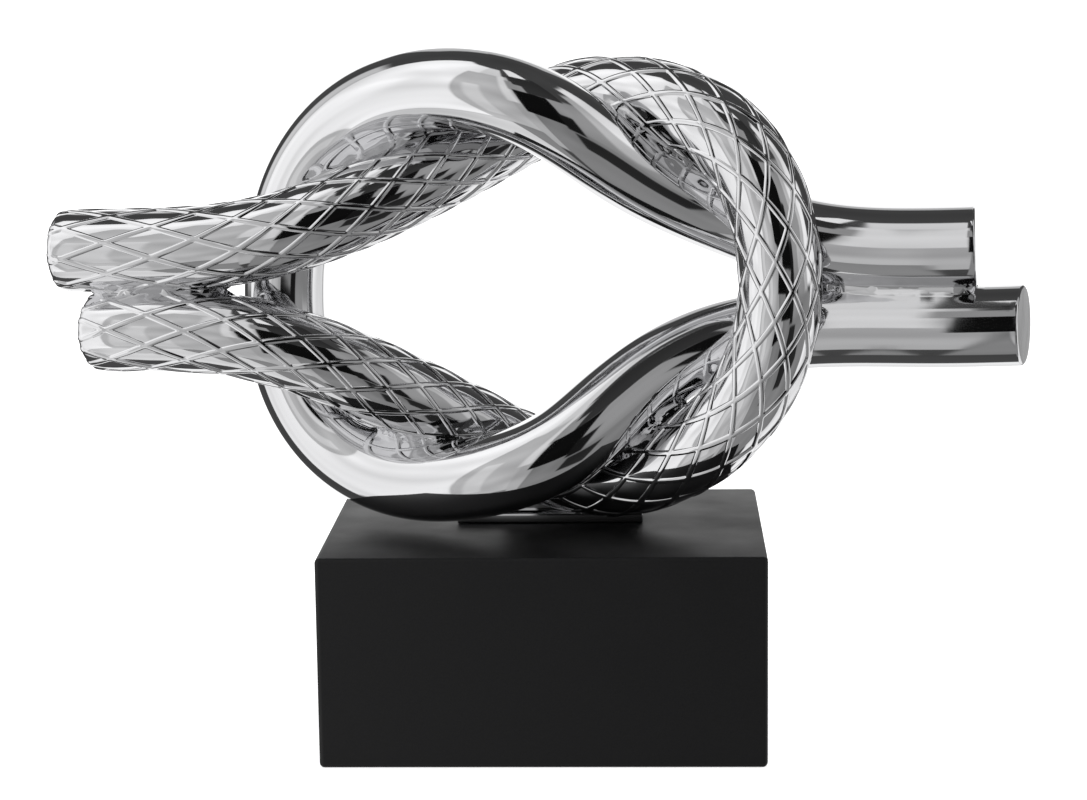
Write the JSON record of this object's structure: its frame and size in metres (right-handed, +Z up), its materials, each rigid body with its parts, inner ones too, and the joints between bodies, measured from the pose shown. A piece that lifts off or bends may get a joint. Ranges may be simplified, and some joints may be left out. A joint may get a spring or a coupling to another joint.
{
  "type": "knot sculpture",
  "caption": "Polished metal reef knot of a smooth strand and a diamond-ribbed strand, cast as one with a low foot, standing on a matte black block plinth",
  "frame": {"origin": "centre of the plinth's underside", "axes": "X along the knot's length, right when seen from the front; -Y to the front; Z up"},
  "size_m": [0.3575, 0.12, 0.254],
  "materials": {
    "knot": "mirror-polished cast metal",
    "plinth": "matte black lacquer"
  },
  "bodies": {
    "root": {"knot": "knot", "plinth": "plinth"}
  },
  "joints": []
}
